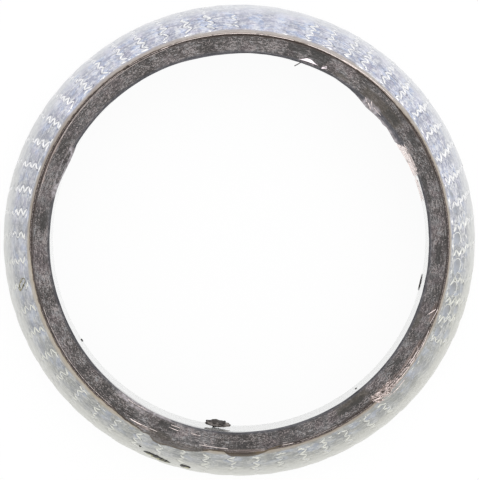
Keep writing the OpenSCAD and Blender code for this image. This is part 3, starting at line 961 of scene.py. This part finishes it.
class GASKET_OT_facing(bpy.types.Operator):
    """Models the pale facing with its cut edge, quilted seat, land and turned-in lower edge"""

    bl_idname = "gasket.facing"
    bl_label = "Facing"

    def outline(self, sizes, outside):
        """The facing's section, from the cut edge down the outside and back up the inside."""
        skin = sizes.facing_thickness
        inner = outside.place(outside.arc, -skin)[0]
        cut = 0.08 * MM
        points = [(inner, sizes.height - 0.02 * MM), (inner + cut, sizes.height), (outside.top_r - cut, sizes.height)]
        points += list(zip(*outside.place(np.linspace(outside.arc - 0.05 * MM, 5.2 * MM, 54))))
        points += list(zip(*outside.place(np.linspace(4.9 * MM, 0.0, 12))))
        points += line_points((outside.land_r, outside.land_h - 0.5 * MM), (outside.land_r, sizes.corner_radius), 8)
        corner = (sizes.outer_radius - sizes.corner_radius, sizes.corner_radius)
        points += arc_points(corner, sizes.corner_radius, 0, -90, 6)
        points += arc_points(corner, sizes.corner_radius - skin, -90, 0, 4)
        points += list(zip(*outside.place(np.linspace(0.0, outside.arc - 0.1 * MM, 6), -skin)))
        return points

    def execute(self, context):
        sizes = context.scene.gasket_sizes
        outside = Outside(sizes)
        knit = Knit(sizes, outside)
        shell = spin_outline("facing_shell", self.outline(sizes, outside), 1044)
        points, angle, r = read_points(shell)
        z = points[:, 2]
        on_outside = np.hypot(r, z - outside.centre) > outside.radius - 0.1 * MM
        on_outside |= (z < outside.land_h) & (r > outside.land_r - 0.1 * MM)
        rise = outside.rise_of(r, z)
        away_from_cut = np.clip((outside.arc - rise) / (0.6 * MM), 0, 1) * np.clip(z / (1.0 * MM), 0, 1)
        row = knit.row(angle)
        near = distance_to_wires(points, knit.rows(), 2.0 * MM)
        quilt = -0.020 * MM * np.cos(2 * np.pi * row)
        groove = -0.055 * MM * np.exp(-((near - 0.24 * MM) / (0.13 * MM)) ** 2)
        relief = quilt + groove + 0.028 * MM * lumps(points, 3.0 * MM, 2) + 0.014 * MM * lumps(points, 0.7 * MM, 2)
        relief = (relief - 0.02 * MM) * on_outside * away_from_cut
        up = np.where(z > outside.land_h, np.arctan2(z - outside.centre, r), 0.0)
        r_new = r + relief * np.cos(up)
        moved = np.stack([points[:, 0] / r * r_new, points[:, 1] / r * r_new, z + relief * np.sin(up)], axis=-1)
        keep_values(shell, "Wire distance", near)
        keep_values(shell, "Seam", 2 * np.abs(row - np.round(row)))
        keep_values(shell, "Cut tone", by_angle(CUT_TONE, angle))
        keep_values(shell, "Blue light tint", by_angle(BLUE_LIGHT_TINT, angle))
        keep_values(shell, "Rim spread", by_angle(RIM_SPREAD, angle) * MM)
        # Painted light and shade: which side of each row's pillow is coloured lighter
        keep_values(shell, "Cell", np.cos(2 * np.pi * (row - 0.18)))
        keep_values(shell, "Cut width", by_angle(CUT_WIDTH, angle) * MM)
        keep_values(shell, "Cut shade", by_angle(CUT_SHADE, angle))
        keep_values(shell, "Mottle", by_angle(MOTTLE, angle))
        bare = np.zeros(len(points))
        bare_dark = np.zeros(len(points))
        uneven = 0.3 * lumps(points, 0.8 * MM, 2)
        for middle, r_mid, wide, tall, dark, _ in BARE_PLACES:
            aside = ((angle - middle + 180) % 360 - 180) * math.radians(1) * r_mid
            apart = ((np.abs(aside) / wide) ** 2.6 + (np.abs(r / MM - r_mid) / tall) ** 2.6) ** (1 / 2.6)
            here = np.clip((1.15 - apart + uneven) / 0.3, 0, 1)
            uphill = np.clip(aside / wide, -1, 1) + np.clip((r / MM - r_mid) / tall, -1, 1)
            bare_dark = np.where(here > bare, dark + 0.1 + 0.3 * uphill, bare_dark)
            bare = np.maximum(bare, here)
        keep_values(shell, "Bare", bare * on_outside)
        keep_values(shell, "Bare dark", np.clip(bare_dark, 0, 1))
        off = np.abs((angle - 343 + 180) % 360 - 180)
        fuzzy = np.clip((14.5 - off) / 3, 0, 1) + 0.45 * np.clip((360 - np.abs(angle - 15) * 24) / 60, 0, 1)
        keep_values(shell, "Open", np.clip(fuzzy, 0, 1) * np.clip((rise - 5.5 * MM) / (1.5 * MM), 0, 1))
        write_points(shell, moved)
        finish_piece(shell, "Pale facing", "facing_layer")
        return {"FINISHED"}


class GASKET_OT_knit(bpy.types.Operator):
    """Draws the rows of knitted wire, the crossing wires of the open zone and the cut loops at the small end"""

    bl_idname = "gasket.knit"
    bl_label = "Knitted wire"

    def execute(self, context):
        sizes = context.scene.gasket_sizes
        outside = Outside(sizes)
        knit = Knit(sizes, outside)
        rng = np.random.default_rng(11)
        rows = knit.rows()
        widths = [knit.widths(row, sizes.wire_radius) for row in rows]
        finish_piece(draw_wires("knitted_rows", rows, widths), "Bright wire", "knitted_wire")

        crossing = []
        widths = []
        turns = np.linspace(0.15 * np.pi, 1.45 * np.pi, 15)
        across = np.sign(np.sin(turns)) * np.abs(np.sin(turns)) ** 0.8
        upward = np.sign(np.cos(turns)) * np.abs(np.cos(turns)) ** 0.8
        for angle, r_mid, wide, tall, _, thick in BARE_PLACES:
            if not thick:
                continue
            middle = outside.rise_of(r_mid * MM, outside.height_at(r_mid * MM))
            steep = math.sin(float(outside.low + middle / outside.radius))
            rise = middle + ((tall / steep + 0.2) * upward + 0.12 * np.sin(3 * turns + angle)) * MM
            r, z = outside.place(rise, -0.05 * MM)
            aside = (wide + 0.12) * across + 0.07 * np.cos(2 * turns + angle)
            crossing.append(ring_places(angle + np.degrees(aside * MM / r), r, z))
            widths.append(thick * (0.35 + 0.6 * np.sin((turns / np.pi - 0.15) / 1.3 * np.pi)) * MM)
        for k in range(knit.count):
            angle = knit.angle(k + 0.5) % 360
            if angle > 331 or angle < 27:
                top = outside.arc - rng.uniform(3.2, 4.2) * MM
                crossing.append(knit.path(k + 0.42, 0.7 * MM, top, 5.5 * MM, 0.03 * MM, 500))
                widths.append(knit.widths(crossing[-1], 0.7 * sizes.wire_radius))
        finish_piece(draw_wires("crossing_wires", crossing, widths), "Bright wire")

        loops = []
        widths = []
        steps = np.linspace(-1, 1, 7)
        strokes = []
        for angle, r, half, thick in LOOPS:
            full = 1.45 if angle < 66 or 96 < angle < 180 or angle > 330 else 1.1
            strokes.append((angle - math.degrees(half / r), angle + math.degrees(half / r), r, r, full * thick))
        for start, end, r_start, r_end, thick in strokes + SEAT_STROKES:
            r_mid = ((r_start + r_end) / 2 + (r_end - r_start) / 2 * steps) * MM
            bow = rng.choice((-1, 1)) * rng.uniform(0.05, 0.3) * steps ** 2 * MM
            rise = outside.rise_of(r_mid, outside.height_at(r_mid)) + bow
            r, z = outside.place(rise, -0.6 * thick * MM)
            loops.append(ring_places((start + end) / 2 + (end - start) / 2 * steps, r, z))
            widths.append(thick * MM * (1 - 0.5 * steps ** 2))
        finish_piece(draw_wires("cut_loops", loops, widths), "Bright wire")
        return {"FINISHED"}


class GASKET_OT_strands(bpy.types.Operator):
    """Draws the strands along the rims of the small end and the crushed wire bits in its face"""

    bl_idname = "gasket.strands"
    bl_label = "Strands and flecks"

    # Strands: (start angle, end angle, radius at start, radius at end, height above the face, wire radius), mm
    RIM = [
        (43, 61, 33.68, 33.67, 0.055, 0.06), (56, 71, 33.58, 33.60, 0.055, 0.055), (75, 92, 33.56, 33.57, 0.05, 0.05),
        (90, 112, 33.56, 33.50, 0.04, 0.045), (110, 122, 33.40, 33.44, 0.02, 0.03),
        (110, 152, 33.18, 33.12, -0.01, 0.028), (124, 168, 33.35, 33.05, -0.01, 0.028),
        (198, 238, 33.15, 33.36, 0.00, 0.028), (238, 246.4, 33.28, 33.14, 0.16, 0.045),
        (238.4, 241.6, 33.34, 33.28, 0.16, 0.055), (258.6, 266.8, 33.12, 33.18, 0.12, 0.045),
        (259.8, 263, 32.85, 33.08, 0.08, 0.035), (277, 285, 33.18, 33.34, 0.02, 0.05),
        (287, 298, 33.34, 33.36, 0.02, 0.024),
        (337, 341.4, 33.25, 33.6, 0.02, 0.055), (312, 334, 33.48, 33.55, 0.02, 0.03),
        (330, 335, 33.85, 33.55, 0.02, 0.05),
        (249.2, 252, 31.78, 31.82, 0.02, 0.06), (249.4, 252.2, 31.28, 31.32, 0.02, 0.05),
        (255.8, 258.6, 31.66, 31.70, 0.02, 0.055), (339, 341.3, 32.3, 33.3, 0.02, 0.05),
        (338.7, 341, 32.25, 33.25, 0.02, 0.04),
        (314, 317.5, 34.45, 34.60, -0.50, 0.06), (317.5, 321, 34.60, 34.50, -0.52, 0.06),
        (316.5, 322, 33.78, 33.82, 0.0, 0.06), (321, 331, 33.80, 33.74, 0.0, 0.05), (318, 329, 33.35, 33.50, 0.02, 0.03),
        (317, 326, 33.15, 33.2, 0.02, 0.03), (322, 330, 33.55, 33.4, 0.02, 0.03),
    ]
    BORE = [
        (21, 32, 29.98, 29.78, -0.42, 0.06), (20.4, 32, 30.13, 29.94, -0.36, 0.06), (21, 32, 30.28, 30.10, -0.30, 0.055),
        (20.6, 31.5, 30.42, 30.26, -0.24, 0.06), (21.4, 32, 30.56, 30.42, -0.16, 0.055), (20.8, 31, 30.70, 30.58, -0.10, 0.05),
        (22, 31, 30.82, 30.74, -0.04, 0.05), (12.8, 19.6, 30.02, 29.98, -0.55, 0.05), (13.4, 20.6, 30.17, 30.12, -0.45, 0.05),
        (12.8, 19.8, 30.33, 30.28, -0.35, 0.05), (41.4, 45.6, 30.28, 30.36, -0.25, 0.05), (41.8, 45.2, 30.5, 30.52, -0.1, 0.04),
        (47.8, 49.2, 30.45, 30.9, -0.1, 0.06), (45.6, 47.4, 30.05, 30.5, -0.2, 0.09), (45.9, 46.9, 30.5, 31.0, -0.05, 0.08),
        (234.5, 241, 30.93, 30.84, 0.02, 0.045),
    ]

    def strand(self, sizes, entry, seed):
        """One strand that wanders a little as it runs round."""
        start, end, r_start, r_end, lift, _ = entry
        count = max(8, int(abs(end - start) * 1.6))
        turn = np.linspace(0, 1, count)
        angle = start + (end - start) * turn
        wander = lumps(np.stack([angle * 0.25, 0 * angle + seed, 0 * angle], axis=-1), 1.0, 3)
        r = (r_start + (r_end - r_start) * turn + 0.03 * wander) * MM
        dip = 0.06 * np.maximum(np.abs(2 * turn - 1) - 0.85, 0) / 0.15
        z = sizes.height + (lift + 0.02 * wander - dip) * MM
        return ring_places(angle, r, z)

    def execute(self, context):
        sizes = context.scene.gasket_sizes
        rng = np.random.default_rng(23)
        entries = self.RIM + self.BORE
        paths = [self.strand(sizes, entry, 5.3 * number) for number, entry in enumerate(entries)]
        strands = draw_wires("rim_strands", paths, [entry[5] * MM for entry in entries])
        finish_piece(strands, "Warm wire")

        bits = []
        widths = []
        face = (sizes.bore_radius + 0.55 * MM, sizes.bore_radius + 2.55 * MM)
        smooth = HOLLOWS + SMEARS
        for _ in range(3600):
            angle = rng.uniform(0, 360)
            r = rng.uniform(*face)
            hidden = any(start < angle < end and inner < r / MM < outer for start, end, inner, outer in smooth)
            length = rng.uniform(0.06, 0.32) * MM
            tilt = rng.normal(0, 0.9)
            bend = rng.uniform(-0.6, 0.6)
            steps = np.linspace(-1, 1, 4)
            aside = length / 2 * (steps * math.sin(tilt) + bend * (1 - steps ** 2) * math.cos(tilt))
            along = length / 2 * (steps * math.cos(tilt) - bend * (1 - steps ** 2) * math.sin(tilt))
            lift = (0.0 - 0.05 * steps ** 2 + rng.uniform(-0.05, 0.01)) * MM
            thick = rng.uniform(0.02, 0.04) * MM
            if not hidden:
                bits.append(ring_places(angle + np.degrees(along / r), r + aside, sizes.height + lift))
                widths.append(thick)
        finish_piece(draw_wires("face_flecks", bits, widths, sides=4), "Dull wire")
        return {"FINISHED"}


class GASKET_OT_wear(bpy.types.Operator):
    """Models the crushed wire patch, the frayed curl, the loose flakes, the burnt chips and the oil mark"""

    bl_idname = "gasket.wear"
    bl_label = "Wear"

    def crushed_patch(self, sizes):
        """A mat of short crushed wires at the outer rim of the face."""
        rng = np.random.default_rng(31)
        paths = []
        for number in range(120):
            dense = number < 84
            angle = rng.uniform(310.6, 317.2) if dense else rng.uniform(316.5, 331)
            r = rng.uniform(32.7, 34.15) if dense else rng.uniform(33.2, 33.9)
            length = rng.uniform(0.4, 1.1)
            tilt = rng.normal(0.8, 0.25) if angle < 314 else rng.normal(0.25, 0.3)
            steps = np.linspace(-1, 1, 6)
            along = length / 2 * steps * math.cos(tilt)
            aside = length / 2 * steps * math.sin(tilt) + 0.06 * np.sin(3 * steps + number)
            lift = 0.02 + rng.uniform(-0.04, 0.03) - 0.10 * steps ** 2
            drop = np.maximum(r + aside - 33.65, 0) * 0.5 + np.maximum(r + aside - 33.65, 0) ** 2 * 0.1
            paths.append(ring_places(angle + np.degrees(along / r), (r + aside) * MM, sizes.height + (lift - drop) * MM))
        widths = list(rng.uniform(0.03, 0.055, len(paths)) * MM)
        # Bright bundles that cross the patch: (start and end angle in degrees, radius at each in millimetres)
        for start, end, r_start, r_end in ((310.8, 312.7, 33.7, 34.25), (310.0, 312.5, 33.15, 33.65), (312, 313.1, 32.62, 32.9)):
            for number in range(3):
                steps = np.linspace(0, 1, 7)
                r = r_start + (r_end - r_start) * steps + 0.10 * number + 0.04 * np.sin(4 * steps + number)
                drop = np.maximum(r - 33.65, 0) * 0.55
                paths.append(ring_places(start + (end - start) * steps, r * MM, sizes.height + (0.06 - drop) * MM))
                widths.append(0.07 * MM * (1 - 0.6 * (2 * steps - 1) ** 2))
        return draw_wires("crushed_wires", paths, widths)

    def frayed_curl(self, sizes):
        """A crescent of frayed strands at the bore side of the face, and the wire end that sticks into the bore."""
        paths = []
        widths = []
        for number in range(9):
            steps = np.linspace(0, 1, 15)
            angle = 71.3 - steps * 4.3 + 0.10 * number * (1 - 2 * steps)
            bow = 0.44 - 0.052 * number
            r = 30.97 + 0.15 * steps + bow * 4 * steps * (1 - steps) * (1.25 - 0.5 * steps)
            lift = 0.02 + 0.05 * np.sin(np.pi * steps)
            paths.append(ring_places(angle, r * MM, sizes.height + lift * MM))
            widths.append(0.07 * MM * (1 - 0.5 * np.abs(2 * steps - 1) ** 3))
        for number in range(3):
            steps = np.linspace(0, 1, 6)
            r = 30.88 + 0.09 * number + (0.40 + 0.05 * number) * steps
            paths.append(ring_places(64.8 - (1.5 - 0.15 * number) * steps, r * MM, sizes.height + 0.03 * MM))
            widths.append(0.065 * MM * (1 - 0.4 * steps))
        curl = draw_wires("frayed_curl", paths, widths)
        steps = np.linspace(0, 1, 9)
        end = ring_places(71.2 + 1.5 * steps, (30.55 - 0.95 * steps + 0.1 * steps ** 2) * MM,
                          sizes.height - (0.05 + 0.5 * steps ** 2) * MM)
        return curl, draw_wires("stray_wire", [end], 0.075 * MM)

    def execute(self, context):
        sizes = context.scene.gasket_sizes
        outside = Outside(sizes)
        finish_piece(self.crushed_patch(sizes), "Crushed wire")
        curl, stray = self.frayed_curl(sizes)
        finish_piece(curl, "Pale strands")
        finish_piece(stray, "Loose graphite")

        # Flakes on the face and at the bore: radius and height of the middle, width and thickness, in millimetres
        flakes = [
            ("bore_flake", (259.6, 266.8), 29.84, 8.5, 1.15, 1.5, 0.3),
            ("bore_speck", (212.0, 213.0), 30.44, 2.1, 0.18, 0.5, 0.2),
            ("bore_grit", (307.9, 308.7), 30.45, 8.9, 0.14, 0.4, 0.2),
            ("bore_sliver", (344.2, 349.4), 30.43, 0.6, 0.16, 0.5, 0.2),
            ("edge_patch", (151.8, 162.4), 30.85, 16.98, 0.7, 0.12, 0.2),
        ]
        for number, (name, span, r, z, width, thickness, ragged) in enumerate(flakes):
            def on_face(across, out):
                return (r + across * width / 2) * MM, (z + out * thickness / 2) * MM

            flake = lay_lump(name, span, on_face, ragged, 1.7 * number)
            finish_piece(flake, "Loose flake" if name == "bore_flake" else "Loose graphite")

        # Burnt chips on the seat: inner and outer radius in millimetres
        chips = [
            ("burnt_chip_left", (248.7, 252.5), 37.44, 37.98), ("burnt_chip_middle", (247.4, 250.2), 37.30, 37.88),
            ("burnt_chip_right", (245.7, 248.3), 37.22, 37.66), ("burnt_chip_short", (255.2, 257.9), 37.46, 37.96),
            ("burnt_dot", (243.8, 244.5), 36.82, 36.93),
        ]
        for number, (name, span, inner, outer) in enumerate(chips):
            top, foot = (outside.rise_of(r * MM, outside.height_at(r * MM)) for r in (inner, outer))

            def on_seat(across, out):
                return outside.place((top + foot) / 2 - across * (top - foot) / 2, out * 0.12 * MM)

            finish_piece(lay_lump(name, span, on_seat, 0.3, 2.3 * number), "Burnt chip")

        # Corners of the oil mark's slanting loop on the seat: (angle in degrees, radius in millimetres)
        corners = [
            (192.6, 36.3), (191.9, 36.45), (190.9, 36.1), (189.9, 35.75), (189.4, 35.35), (189.8, 35.05), (190.5, 35.1),
            (191.2, 35.5), (192.1, 35.9), (192.6, 36.3),
        ]
        turns = np.linspace(0, len(corners) - 1, 40)
        angles, radii = (np.interp(turns, range(len(corners)), values) for values in zip(*corners))
        r, z = outside.place(outside.rise_of(radii * MM, outside.height_at(radii * MM)), 0.0)
        finish_piece(draw_wires("oil_mark", [ring_places(angles, r, z)], 0.08 * MM), "Oil mark")
        return {"FINISHED"}


class GASKET_OT_stage(bpy.types.Operator):
    """Sets the pale floor, the soft studio light and the camera over the small end"""

    bl_idname = "gasket.stage"
    bl_label = "Stage"

    # The photograph's frame is 479 pixels wide, and a pixel is this many millimetres at the small end
    FRAME_PIXELS = 479
    PIXEL_MM = 0.1605
    # Height of the camera over the small end, and how far it stands aside of the bore's axis
    CAMERA_MM = 833.0
    ASIDE_MM = (-2.6, 24.4)
    # Place on the small end's plane that falls on the picture's middle
    AIM_MM = (0.0, 0.42)

    def floor(self, colours):
        """A pale floor that keeps the object's shadow and shows white to the camera."""
        bpy.ops.object.select_all(action="DESELECT")
        bpy.ops.mesh.primitive_plane_add(size=6.0, location=(0, 0, 0))
        floor = bpy.context.active_object
        floor.name = "floor"
        wires, shader = start_material("Floor")
        wires.feed(shader.inputs["Base Color"], tuple(colours.floor))
        wires.feed(shader.inputs["Roughness"], 0.9)
        glow = wires.add("ShaderNodeEmission")
        rays = wires.add("ShaderNodeLightPath")
        seen = wires.math("MAXIMUM", rays.outputs["Is Camera Ray"], rays.outputs["Is Glossy Ray"])
        mixed = wires.add("ShaderNodeMixShader")
        wires.feed(mixed.inputs[0], wires.math("MULTIPLY", seen, 0.94))
        wires.tree.links.new(shader.outputs[0], mixed.inputs[1])
        wires.tree.links.new(glow.outputs[0], mixed.inputs[2])
        output = next(node for node in wires.tree.nodes if node.type == "OUTPUT_MATERIAL")
        wires.tree.links.new(mixed.outputs[0], output.inputs["Surface"])
        floor.data.materials.append(bpy.data.materials["Floor"])

    def light(self, name, location, size, power):
        """One soft square lamp that looks at the gasket."""
        bpy.ops.object.light_add(type="AREA", location=location)
        lamp = bpy.context.active_object
        lamp.name = name
        lamp.data.size = size
        lamp.data.energy = power
        lamp.rotation_euler = (-Vector(location)).to_track_quat("-Z", "Y").to_euler()

    def execute(self, context):
        sizes = context.scene.gasket_sizes
        self.floor(context.scene.gasket_colours)
        self.light("overhead", (0.22, 0.34, 0.9), 0.8, 3.0)

        world = bpy.data.worlds.new("Studio")
        context.scene.world = world
        world.use_nodes = True
        world.node_tree.nodes["Background"].inputs["Color"].default_value = (1, 1, 1, 1)
        world.node_tree.nodes["Background"].inputs["Strength"].default_value = 1.0

        aim = Vector((self.AIM_MM[0] * MM, self.AIM_MM[1] * MM, sizes.height))
        spot = Vector((self.ASIDE_MM[0] * MM, self.ASIDE_MM[1] * MM, sizes.height + self.CAMERA_MM * MM))
        bpy.ops.object.camera_add(location=spot)
        camera = bpy.context.active_object
        camera.name = "camera"
        back = (spot - aim).normalized()
        right = Vector((0, 1, 0)).cross(back).normalized()
        camera.rotation_euler = Matrix((right, back.cross(right), back)).transposed().to_euler()
        camera.data.sensor_fit = "HORIZONTAL"
        camera.data.lens = camera.data.sensor_width * self.CAMERA_MM / (self.FRAME_PIXELS * self.PIXEL_MM)
        camera.data.clip_end = 20.0
        context.scene.camera = camera
        context.scene.view_settings.view_transform = "Standard"
        return {"FINISHED"}


OPERATORS = (
    GASKET_OT_materials,
    GASKET_OT_body,
    GASKET_OT_squeezed,
    GASKET_OT_facing,
    GASKET_OT_knit,
    GASKET_OT_strands,
    GASKET_OT_wear,
    GASKET_OT_stage,
)


class GASKET_PT_panel(bpy.types.Panel):
    """The gasket's steps and settings in the sidebar"""

    bl_label = "Exhaust ring gasket"
    bl_idname = "GASKET_PT_panel"
    bl_space_type = "VIEW_3D"
    bl_region_type = "UI"
    bl_category = "Gasket"

    def draw(self, context):
        for settings in (context.scene.gasket_sizes, context.scene.gasket_colours):
            box = self.layout.box()
            for name in type(settings).__annotations__:
                box.prop(settings, name)
        for operator in OPERATORS:
            self.layout.operator(operator.bl_idname)


CLASSES = (RingSizes, RingColours, *OPERATORS, GASKET_PT_panel)


def register():
    for cls in CLASSES:
        bpy.utils.register_class(cls)
    bpy.types.Scene.gasket_sizes = PointerProperty(type=RingSizes)
    bpy.types.Scene.gasket_colours = PointerProperty(type=RingColours)


def unregister():
    del bpy.types.Scene.gasket_colours
    del bpy.types.Scene.gasket_sizes
    for cls in reversed(CLASSES):
        bpy.utils.unregister_class(cls)


def main():
    register()
    bpy.ops.gasket.materials()
    bpy.ops.gasket.body()
    bpy.ops.gasket.squeezed()
    bpy.ops.gasket.facing()
    bpy.ops.gasket.knit()
    bpy.ops.gasket.strands()
    bpy.ops.gasket.wear()
    bpy.ops.gasket.stage()


if __name__ == "__main__":
    main()
